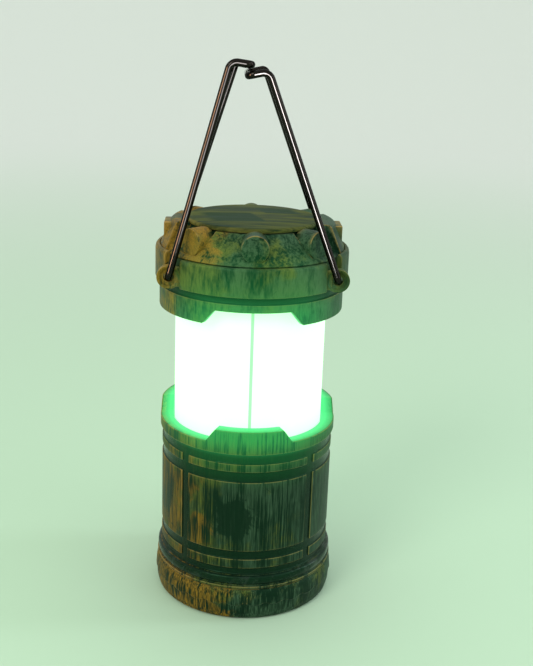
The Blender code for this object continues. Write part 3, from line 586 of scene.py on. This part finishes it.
class Graph:
    """Short calls for building one material's nodes."""

    def __init__(self, name):
        self.material = bpy.data.materials.new(name)
        self.material.use_nodes = True
        self.tree = self.material.node_tree
        self.shader = self.tree.nodes["Principled BSDF"]
        self.place = self.add("ShaderNodeTexCoord").outputs["Object"]

    def add(self, kind, **settings):
        node = self.tree.nodes.new(kind)
        for key, value in settings.items():
            setattr(node, key, value)
        return node

    def put(self, value, socket):
        """Link another node's output to the socket, or set the socket to a plain value."""
        if hasattr(value, "links"):
            self.tree.links.new(value, socket)
        else:
            socket.default_value = value

    def noise(self, stretch, scale, detail=4.0, rough=0.55, shift=(0, 0, 0), warp=0.0):
        """Noise in object space, drawn out along an axis where its stretch is under 1."""
        mapping = self.add("ShaderNodeMapping")
        self.put(self.place, mapping.inputs["Vector"])
        mapping.inputs["Scale"].default_value = stretch
        mapping.inputs["Location"].default_value = shift
        node = self.add("ShaderNodeTexNoise")
        self.put(mapping.outputs[0], node.inputs["Vector"])
        node.inputs["Scale"].default_value = scale
        node.inputs["Detail"].default_value = detail
        node.inputs["Roughness"].default_value = rough
        node.inputs["Distortion"].default_value = warp
        return node.outputs["Fac"]

    def span(self, value, low, high, out_low=0.0, out_high=1.0):
        """Smooth change from out_low, where the value is low, to out_high, where it is high."""
        node = self.add("ShaderNodeMapRange", interpolation_type="SMOOTHSTEP")
        for socket, given in zip(node.inputs, (value, low, high, out_low, out_high)):
            self.put(given, socket)
        return node.outputs[0]

    def math(self, kind, a, b=0.0):
        node = self.add("ShaderNodeMath", operation=kind)
        self.put(a, node.inputs[0])
        self.put(b, node.inputs[1])
        return node.outputs[0]

    def plus(self, a, b):
        return self.math("ADD", a, b)

    def less(self, a, b):
        return self.math("SUBTRACT", a, b)

    def size(self, value):
        return self.math("ABSOLUTE", value)

    def times(self, *values):
        total = values[0]
        for value in values[1:]:
            total = self.math("MULTIPLY", total, value)
        return total

    def mix(self, share, a, b):
        node = self.add("ShaderNodeMix", data_type="RGBA")
        self.put(share, node.inputs[0])
        self.put((*a, 1.0) if isinstance(a, tuple) else a, node.inputs[6])
        self.put((*b, 1.0) if isinstance(b, tuple) else b, node.inputs[7])
        return node.outputs[2]

    def axis(self, letter):
        node = self.add("ShaderNodeSeparateXYZ")
        self.put(self.place, node.inputs[0])
        return node.outputs[letter]

    def distance_out(self):
        """Distance from the axis of the lantern."""
        x, y = self.axis("X"), self.axis("Y")
        return self.math("SQRT", self.plus(self.times(x, x), self.times(y, y)))

    def facing_up(self):
        node = self.add("ShaderNodeSeparateXYZ")
        self.put(self.add("ShaderNodeNewGeometry").outputs["Normal"], node.inputs[0])
        return node.outputs["Z"]

    def attribute(self, name):
        return self.add("ShaderNodeAttribute", attribute_name=name).outputs["Fac"]

    def bump(self, height, strength, distance):
        node = self.add("ShaderNodeBump")
        node.inputs["Strength"].default_value = strength
        node.inputs["Distance"].default_value = distance
        self.put(height, node.inputs["Height"])
        self.put(node.outputs[0], self.shader.inputs["Normal"])


DARK = (0.003, 0.011, 0.006)
GREY_GREEN = (0.052, 0.098, 0.056)
OLIVE = (0.120, 0.138, 0.024)
OCHRE = (0.300, 0.158, 0.016)
EDGE_OLIVE = (0.190, 0.190, 0.055)
EDGE_OCHRE = (0.380, 0.230, 0.070)
# Painted green lamp light: colours laid into the paint near the lamp, and the painted glow on
# surfaces that face it.
LAMP_LIT_DARK = (0.008, 0.105, 0.028)
LAMP_LIT_PAINT = (0.056, 0.190, 0.044)
LAMP_LIT_NEAR_DARK = (0.012, 0.150, 0.045)
LAMP_LIT_NEAR = (0.022, 0.250, 0.060)
INSIDE_GLOW = (0.09, 0.80, 0.24)
GREEN_GLOSS = (0.30, 1.0, 0.50, 1.0)
DISC_DARK, DISC_OLIVE = (0.003, 0.016, 0.005), (0.078, 0.088, 0.019)
DISC_PATCH, DISC_RIM = (0.006, 0.026, 0.011), (0.17, 0.130, 0.028)
STEEL_DARK, STEEL_LIGHT = (0.005, 0.004, 0.003), (0.018, 0.013, 0.010)
STEEL_TINT = (0.12, 0.11, 0.10, 1.0)
TUBE_GLOW, TUBE_PLASTIC = (0.47, 1.0, 0.51), (0.24, 0.30, 0.25)
SEAM_GLOW, SEAM_PLASTIC = (0.33, 1.0, 0.40), (0.10, 0.30, 0.12)
TUBE_STRENGTH, SEAM_STRENGTH = 1.5, 0.80

# Each camouflaged piece. Pairs are the place where a smooth change starts and where it is complete.
# stretch, cover, soft: direction of the strokes, how bare the plastic is, how soft their edges are.
# patch, patch_detail, patchy: size, detail and strength of the large patches. hair: fine scratches.
# splotch: level of the blots where paint is missing. warm_x: where ochre takes over.
# glow, glow_low, glow_high, side_glow, near: painted lamp light, its height range, at the sides,
# close to it.
# inside, inside_z: radius and height range of the surface that faces the lamp.
# edge_warm, edge_low: how yellow worn edges are, and how much of them shows when facing down, so the
# upper edges carry a painted highlight.
# shade and its right-hand value: strength of the paint overall, and painted shade weakening it on
# the far right. gloss: least roughness.
BODY_SPEC = {
    "stretch": (1, 1, 0.040), "cover": 0.425, "soft": 0.12,
    "patch": 45.0, "patch_detail": 3.0, "patchy": 0.40, "hair": 0.72,
    "splotch": 0.62, "warm_x": (0.002, -0.038),
    "glow": 0.86, "glow_low": (0.062, 0.092), "glow_high": (1.0, 0.9),
    "side_glow": 0.50, "near": (0.078, 0.091),
    "inside": (0.0411, 0.0407), "inside_z": (0.080, 0.084),
    "edge_warm": 0.25, "edge_low": 1.0, "shade": 0.68, "painted_shade_right": 0.68, "gloss": 0.40,
    "patch_mark": True, "glossy_ring": True,
}
COVER_SPEC = {
    "stretch": (1, 1, 0.040), "cover": 0.430, "soft": 0.13,
    "patch": 60.0, "patch_detail": 1.0, "patchy": 0.40, "hair": 0.80,
    "splotch": 0.63, "warm_x": (0.060, -0.036),
    "glow": 0.0, "glow_low": (0.0, 0.001), "glow_high": (1.0, 0.9),
    "side_glow": 1.0, "near": (0.999, 1.0),
    "inside": (0.001, 0.0), "inside_z": (0.999, 1.0),
    "edge_warm": 0.35, "edge_low": 1.0, "shade": 0.85, "painted_shade_right": 0.70, "gloss": 0.42,
}
BAND_SPEC = {
    "stretch": (0.7, 0.7, 0.16), "cover": 0.270, "soft": 0.36,
    "patch": 40.0, "patch_detail": 4.0, "patchy": 0.75, "hair": 0.25,
    "splotch": 0.65, "warm_x": (-0.020, -0.040),
    "glow": 0.82, "glow_low": (0.0, 0.001), "glow_high": (0.184, 0.146),
    "side_glow": 0.22, "near": (0.160, 0.143),
    "inside": (0.0419, 0.0414), "inside_z": (0.1505, 0.1485),
    "edge_warm": 0.15, "edge_low": 0.5, "shade": 1.0, "painted_shade_right": 0.35, "gloss": 0.40,
}
DOME_SPEC = {
    "stretch": (0.7, 0.7, 0.5), "cover": 0.340, "soft": 0.26,
    "patch": 75.0, "patch_detail": 6.0, "patchy": 0.62, "hair": 0.30,
    "splotch": 0.565, "warm_x": (0.006, -0.028),
    "glow": 0.45, "glow_low": (0.0, 0.001), "glow_high": (0.186, 0.160),
    "side_glow": 0.12, "near": (0.001, 0.0),
    "inside": (0.001, 0.0), "inside_z": (0.999, 1.0),
    "edge_warm": 0.75, "edge_low": 0.0, "shade": 1.0, "painted_shade_right": 0.60, "gloss": 0.42,
}
MARK_X, MARK_Z, MARK_SCALE, MARK_RAGGED = -0.006, 0.050, 95.0, 5.5
RING_LOW, RING_HIGH = (0.0168, 0.0176), (0.0230, 0.0224)


def left_by_mark(g, broad, splotch):
    """Share of the paint that a plain dark ragged patch leaves on the front."""
    front = g.span(g.axis("Y"), -0.030, -0.036)
    across = g.math("POWER", g.size(g.times(g.less(g.axis("X"), MARK_X), MARK_SCALE)), 2.0)
    rise = g.math("POWER", g.size(g.times(g.less(g.axis("Z"), MARK_Z), MARK_SCALE)), 2.0)
    cloud = g.plus(g.times(broad, 0.45), g.times(splotch, 0.55))
    blob = g.plus(g.plus(across, rise), g.times(g.less(cloud, 0.5), MARK_RAGGED))
    return g.less(1.0, g.times(front, g.span(blob, 1.15, 0.70, 0.0, 0.88)))


def add_edge_wear_and_highlight(g, spec, colour, warm, broad):
    """Lighter dry-brushed paint along the outer edges, kept to upward-facing edges as a painted
    highlight.
    """
    wear, raised = g.attribute("wear"), g.attribute("raised")
    edge = g.times(g.span(wear, 0.14, 0.50), g.span(broad, 0.36, 0.52), g.span(raised, 0.3, 0.8))
    # Less of the edge colour where the surface faces down: painted highlight on the upper edges.
    edge = g.times(edge, g.span(g.facing_up(), -0.15, 0.40, spec["edge_low"], 1.0))
    edge_wear_and_highlight_colour = g.mix(g.math("MAXIMUM", warm, spec["edge_warm"]), EDGE_OLIVE, EDGE_OCHRE)
    return g.mix(g.times(edge, 0.85), colour, edge_wear_and_highlight_colour)


def add_lamp_light(g, spec, colour, paint):
    """Painted green lamp light: laid into the colour outside, and a painted glow on surfaces that
    face it.
    """
    x, z = g.axis("X"), g.axis("Z")
    lit = g.times(g.span(z, *spec["glow_low"]), g.span(z, *spec["glow_high"]), spec["glow"])
    lit = g.times(lit, g.span(g.size(x), 0.041, 0.018, spec["side_glow"], 1.0))
    close = g.span(z, *spec["near"])
    lit_dark = g.mix(close, LAMP_LIT_DARK, LAMP_LIT_NEAR_DARK)
    lit_paint = g.mix(close, LAMP_LIT_PAINT, LAMP_LIT_NEAR)
    lamp_lit = g.mix(lit, colour, g.mix(paint, lit_dark, lit_paint))
    radius = g.distance_out()
    facing_lamp = g.times(g.span(radius, *spec["inside"]), g.span(z, *spec["inside_z"]))
    near_lamp = g.span(radius, 0.0415, 0.0365, 0.35, 1.0)
    g.put(lamp_lit, g.shader.inputs["Base Color"])
    g.put(g.mix(facing_lamp, lamp_lit, INSIDE_GLOW), g.shader.inputs["Emission Color"])
    shine = g.times(lit, g.span(close, 0.0, 1.0, 0.26, 0.65))
    strength = g.math("MAXIMUM", shine, g.times(facing_lamp, near_lamp, 1.1))
    g.put(strength, g.shader.inputs["Emission Strength"])


def camo(name, spec):
    """Dark plastic under dry-brushed paint: stretched noise makes the strokes, ochre to the left."""
    g = Graph(name)
    x, wear, raised = g.axis("X"), g.attribute("wear"), g.attribute("raised")
    stretch = spec["stretch"]
    strokes = g.noise(stretch, 1300.0, 3.0, 0.6)
    hairs = g.noise(stretch, 3000.0, 2.0, 0.5, shift=(0.7, 0.2, 0.1))
    broad = g.noise(stretch, 380.0, 4.0, 0.6, shift=(0.3, 0.1, 0.2), warp=0.5)
    size, detail = spec["patch"], spec["patch_detail"]
    patches = g.noise((1, 1, 0.8), size, detail, 0.62, shift=(0.11, 0.2, 0.05), warp=0.6)
    tint = g.noise((1, 1, 0.7), 60.0, 5.0, 0.65, shift=(0.5, 0.7, 0.3), warp=0.8)
    splotch = g.noise((1, 1, 0.9), 150.0, 8.0, 0.7, shift=(0.23, 0.4, 0.6), warp=0.9)
    olive_cloud = g.noise((1, 1, 1), 45.0, 4.0, 0.6, shift=(0.9, 0.1, 0.4))
    fine = g.noise((1, 1, 1), 2600.0, 3.0)

    body = g.plus(g.times(strokes, 0.55), g.times(broad, 0.45))
    body = g.plus(body, g.times(g.less(patches, 0.5), spec["patchy"]))
    body = g.plus(body, g.times(wear, 0.12))
    paint = g.span(body, spec["cover"], spec["cover"] + spec["soft"])
    paint = g.times(paint, g.span(splotch, spec["splotch"] + 0.05, spec["splotch"], 0.12, 1.0))
    if spec.get("patch_mark"):
        paint = g.times(paint, left_by_mark(g, broad, splotch))
    paint = g.times(paint, g.span(raised, 0.25, 0.9, 0.05, 1.0))

    warm = g.span(g.plus(tint, g.span(x, *spec["warm_x"], -0.30, 0.16)), 0.50, 0.64)
    brushed = g.mix(g.span(g.plus(olive_cloud, g.times(x, -2.5)), 0.44, 0.58), GREY_GREEN, OLIVE)
    brushed = g.mix(warm, brushed, OCHRE)
    brushed = g.mix(g.span(hairs, 0.62, 0.38, 0.0, spec["hair"]), brushed, DARK)
    # Weaker paint on the far right side: painted shade on the side turned from the light.
    shade = g.span(x, 0.033, 0.041, spec["shade"], spec["painted_shade_right"])
    colour = g.mix(g.times(paint, shade), DARK, brushed)
    colour = add_edge_wear_and_highlight(g, spec, colour, warm, broad)
    add_lamp_light(g, spec, colour, paint)

    if spec.get("glossy_ring"):
        ring = g.times(g.span(g.axis("Z"), *RING_LOW), g.span(g.axis("Z"), *RING_HIGH))
        ring = g.times(ring, g.span(splotch, 0.50, 0.62, 0.02, 0.45))
        g.put(ring, g.shader.inputs["Coat Weight"])
        g.shader.inputs["Coat Roughness"].default_value = 0.16
    matt = g.span(body, 0.3, 0.8, spec["gloss"], spec["gloss"] + 0.25)
    g.put(g.times(matt, g.span(raised, 0.0, 0.15, 0.4, 1.0)), g.shader.inputs["Roughness"])
    g.shader.inputs["Specular IOR Level"].default_value = 0.20
    g.shader.inputs["Specular Tint"].default_value = GREEN_GLOSS
    g.bump(g.plus(g.times(body, 0.8), g.times(fine, 0.25)), 0.4, 0.0004)
    return g.material


def disc_camo():
    """Streaks across the flat top, with two plain darker wedges and a yellowed rim."""
    g = Graph("disc_look")
    x, y = g.axis("X"), g.axis("Y")
    streak = g.noise((0.05, 1, 1), 900.0, 4.0, 0.6)
    slow = g.noise((0.12, 1, 1), 160.0, 4.0, 0.55, shift=(0.2, 0.4, 0.0))
    both = g.plus(g.times(streak, 0.5), g.times(slow, 0.6))
    colour = g.mix(g.span(both, 0.47, 0.64), DISC_DARK, DISC_OLIVE)
    slant = g.plus(x, g.times(y, 0.35))
    wedge = g.times(g.span(slant, -0.026, -0.020), g.span(slant, 0.001, -0.001))
    wedge = g.times(wedge, g.span(g.size(g.plus(y, 0.006)), 0.0105, 0.0090))
    other = g.times(g.span(slant, 0.006, 0.008), g.span(slant, 0.026, 0.022))
    other = g.times(other, g.span(g.size(g.less(y, 0.011)), 0.0075, 0.0060))
    colour = g.mix(g.times(g.math("MAXIMUM", wedge, other), 0.85), colour, DISC_PATCH)
    rim = g.times(g.span(g.distance_out(), 0.0292, 0.0302), g.span(slow, 0.36, 0.56, 0.25, 1.0))
    colour = g.mix(g.times(rim, g.span(x, 0.010, -0.024, 0.08, 0.65)), colour, DISC_RIM)
    g.put(colour, g.shader.inputs["Base Color"])
    g.put(g.span(both, 0.3, 0.8, 0.50, 0.74), g.shader.inputs["Roughness"])
    g.shader.inputs["Specular IOR Level"].default_value = 0.14
    g.shader.inputs["Specular Tint"].default_value = GREEN_GLOSS
    g.bump(both, 0.3, 0.0003)
    return g.material


def steel():
    """Dark plated wire, polished, with faint drawing marks."""
    g = Graph("bail_look")
    marks = g.noise((1, 1, 0.05), 2500.0, 3.0, 0.5)
    haze = g.noise((1, 1, 1), 130.0, 4.0, 0.6)
    g.put(g.mix(haze, STEEL_DARK, STEEL_LIGHT), g.shader.inputs["Base Color"])
    g.put(g.span(marks, 0.3, 0.7, 0.05, 0.10), g.shader.inputs["Roughness"])
    g.shader.inputs["Metallic"].default_value = 1.0
    g.shader.inputs["Specular Tint"].default_value = STEEL_TINT
    g.shader.inputs["Coat Weight"].default_value = 0.22
    g.shader.inputs["Coat Roughness"].default_value = 0.05
    g.bump(marks, 0.02, 0.0001)
    return g.material


def lamp(name, colour, strength, base):
    """Frosted plastic lit from inside, a little uneven and dimmer at its ends."""
    g = Graph(name)
    cloud = g.noise((1, 1, 0.5), 60.0, 3.0, 0.5)
    z = g.axis("Z")
    ends = g.times(g.span(z, 0.074, 0.096, 0.72, 1.0), g.span(z, 0.156, 0.136, 0.72, 1.0))
    dimmer = tuple(0.96 * c for c in colour)
    g.put(g.mix(cloud, base, colour), g.shader.inputs["Base Color"])
    g.put(g.mix(g.span(cloud, 0.3, 0.7), colour, dimmer), g.shader.inputs["Emission Color"])
    g.put(g.times(ends, strength), g.shader.inputs["Emission Strength"])
    g.shader.inputs["Roughness"].default_value = 0.45
    return g.material


def plain(name, colour, roughness, metallic):
    """Moulded or plated surface: slight colour change, fine grain in roughness and bump."""
    g = Graph(name)
    cloud = g.noise((1, 1, 1), 90.0, 4.0)
    speck = g.noise((1, 1, 1), 900.0, 3.0)
    darker = tuple(0.78 * c for c in colour)
    g.put(g.mix(g.span(cloud, 0.35, 0.65), darker, colour), g.shader.inputs["Base Color"])
    g.put(g.span(speck, 0.3, 0.7, roughness * 0.8, roughness * 1.2), g.shader.inputs["Roughness"])
    g.shader.inputs["Metallic"].default_value = metallic
    g.bump(speck, 0.12, 0.0002)
    return g.material


# Colour, roughness and metallic of each CAD slot that keeps its mesh.
INNER = {
    "foot_plastic": ((0.80, 0.82, 0.80), 0.5, 0.0),
    "white_plastic": ((0.82, 0.83, 0.80), 0.35, 0.0),
    "core_plastic": ((0.04, 0.045, 0.04), 0.5, 0.0),
    "cell_wrap": ((0.05, 0.10, 0.06), 0.3, 0.0),
    "contact_metal": ((0.70, 0.68, 0.62), 0.3, 1.0),
    "screw_steel": ((0.45, 0.45, 0.46), 0.3, 1.0),
    "board": ((0.05, 0.22, 0.10), 0.45, 0.0),
    "led_board": ((0.85, 0.85, 0.83), 0.4, 0.0),
    "phosphor": ((0.85, 0.90, 0.35), 0.5, 0.0),
    "reed_glass": ((0.30, 0.42, 0.34), 0.1, 0.0),
    "magnet": ((0.50, 0.50, 0.52), 0.3, 1.0),
}


def dress_inner_nodes():
    """Give each CAD node that stays its own procedural material."""
    looks = {slot: plain(slot + "_look", *values) for slot, values in INNER.items()}
    for part in frame["record"]["subparts"]:
        slot = part["material_slot"]
        if slot in looks:
            node = frame["nodes"][part["node"]]
            node.data.materials.clear()
            node.data.materials.append(looks[slot])


# ---------------------------------------------------------------- stage

COOL, WARM, WHITE = (0.86, 0.91, 1.0), (1.0, 0.62, 0.40), (1.0, 1.0, 1.0)
MIDDLE, UPPER = (0.0, 0.0, 0.11), (0.0, 0.0, 0.20)
# Name, place, width, watts, colour, height. Each is seen by one bail only.
WIRE_LIGHTS = (
    ("cool_on_right", (0.05, -0.57, 0.13), 0.15, 14.0, COOL, 0.26),
    ("cool_on_left", (0.05, -0.57, 0.13), 0.15, 4.0, COOL, 0.26),
    ("warm_on_left", (-0.75, -0.52, 0.28), 0.18, 16.0, WARM, 0.5),
    ("warm_on_right", (-0.75, -0.52, 0.28), 0.18, 8.0, WARM, 0.5),
)
# Name, place, target, width, watts, colour, and a height where the light isn't square.
ROOM_LIGHTS = (
    ("key", (-0.55, -0.75, 0.75), MIDDLE, 0.42, 4.2, (1.0, 0.97, 0.90)),
    ("fill", (0.80, -0.55, 0.45), MIDDLE, 0.5, 1.2, (0.90, 0.97, 1.0)),
    ("strip", (0.85, 0.05, 0.50), UPPER, 0.16, 2.2, (0.86, 0.90, 1.0), 0.9),
    ("top", (0.0, 0.25, 0.95), MIDDLE, 0.6, 0.6, WHITE),
)
FLOOR_RADII, FLOOR_CURVE, CURVE_STEPS, FLOOR_STEPS = (0.02, 0.6, 1.2, 1.8), 1.2, 24, 96
# The floor is greener and darker near the lantern: painted green lamp light.
FLOOR_NEAR_LAMP_GLOW, FLOOR_FAR = (0.50, 0.68, 0.50), (0.86, 0.89, 0.85)
SKY, SKY_STRENGTH = (0.86, 0.92, 0.87, 1.0), 0.92
CAMERA_PLACE = (0.00778, -0.47009, 0.27045)
CAMERA_TURN, CAMERA_TILT, CAMERA_ROLL = -2.7, 90.0 - 16.941, 2.02
CAMERA_SENSOR, CAMERA_LENS = 36.0, 56.564865


def area_light(name, place, target, width, watts, colour, height=None):
    """A square light, or a rectangular one where a height is given, aimed at the target."""
    data = bpy.data.lights.new(name, "AREA")
    data.energy = watts
    data.color = colour
    data.size = width
    if height:
        data.shape = "RECTANGLE"
        data.size_y = height
    obj = bpy.data.objects.new(name, data)
    obj.location = place
    obj.rotation_euler = (Vector(target) - Vector(place)).to_track_quat("-Z", "Y").to_euler()
    obj.visible_camera = False
    bpy.context.scene.collection.objects.link(obj)
    return obj


def light_the_wires():
    """Softboxes that only one wire bail sees each, for the crisp stripes along its legs."""
    for name, place, width, watts, colour, height in WIRE_LIGHTS:
        receiver = bpy.data.collections.new(name)
        side = "handle_left_fine" if "left" in name else "handle_right_fine"
        receiver.objects.link(bpy.data.objects[side])
        softbox = area_light(name, place, UPPER, width, watts, colour, height)
        softbox.light_linking.receiver_collection = receiver


def make_floor():
    """A round floor that curves up at its edge."""
    edge = FLOOR_RADII[-1]
    profile = [(radius, 0.0) for radius in FLOOR_RADII]
    for i in range(1, CURVE_STEPS + 1):
        turn = math.radians(90.0 * i / CURVE_STEPS)
        rise = FLOOR_CURVE - FLOOR_CURVE * math.cos(turn)
        profile.append((edge + FLOOR_CURVE * math.sin(turn), rise))
    bm = bmesh.new()
    rings = []
    for i in range(FLOOR_STEPS):
        angle = 360.0 * i / FLOOR_STEPS
        rings.append([bm.verts.new(polar(radius, angle, z)) for radius, z in profile])
    bridge(bm, rings, across=False)
    bm.faces.new([ring[0] for ring in rings])
    bmesh.ops.recalc_face_normals(bm, faces=bm.faces)
    for face in bm.faces:
        face.smooth = True
    mesh = bpy.data.meshes.new("floor")
    bm.to_mesh(mesh)
    bm.free()
    floor = bpy.data.objects.new("floor", mesh)
    bpy.context.scene.collection.objects.link(floor)
    g = Graph("floor_look")
    # Greener and darker towards the lantern: painted green lamp light on the floor.
    far = g.span(g.distance_out(), 0.1, 1.9)
    g.put(g.mix(far, FLOOR_NEAR_LAMP_GLOW, FLOOR_FAR), g.shader.inputs["Base Color"])
    g.shader.inputs["Roughness"].default_value = 0.75
    mesh.materials.append(g.material)


def make_room():
    """The even surroundings and the four lights that every piece sees."""
    world = bpy.data.worlds.new("studio")
    world.use_nodes = True
    sky = world.node_tree.nodes["Background"]
    sky.inputs["Color"].default_value = SKY
    sky.inputs["Strength"].default_value = SKY_STRENGTH
    bpy.context.scene.world = world
    bpy.context.scene.view_settings.view_transform = "Standard"
    for light in ROOM_LIGHTS:
        area_light(*light)


def make_camera():
    data = bpy.data.cameras.new("camera")
    data.sensor_width = CAMERA_SENSOR
    data.lens = CAMERA_LENS
    data.clip_start = 0.01
    obj = bpy.data.objects.new("camera", data)
    bpy.context.scene.collection.objects.link(obj)
    turn = Matrix.Rotation(math.radians(CAMERA_TURN), 4, "Z")
    tilt = Matrix.Rotation(math.radians(CAMERA_TILT), 4, "X")
    roll = Matrix.Rotation(math.radians(CAMERA_ROLL), 4, "Z")
    obj.matrix_world = turn @ Matrix.Translation(CAMERA_PLACE) @ (tilt @ roll)
    bpy.context.scene.camera = obj


def main():
    make_camera()
    make_floor()
    make_room()
    make_body(camo("body_look", BODY_SPEC))
    make_cover(camo("cover_look", COVER_SPEC))
    make_band(camo("band_look", BAND_SPEC))
    make_dome(camo("dome_look", DOME_SPEC))
    make_disc(disc_camo())
    tube_look = lamp("tube_look", TUBE_GLOW, TUBE_STRENGTH, TUBE_PLASTIC)
    seam_look = lamp("seam_look", SEAM_GLOW, SEAM_STRENGTH, SEAM_PLASTIC)
    make_tube(tube_look, seam_look)
    metal = steel()
    make_bail("handle_left", "bail_left", -1, LEFT_LEGS, metal)
    make_bail("handle_right", "bail_right", 1, RIGHT_LEGS, metal)
    light_the_wires()
    dress_inner_nodes()


main()
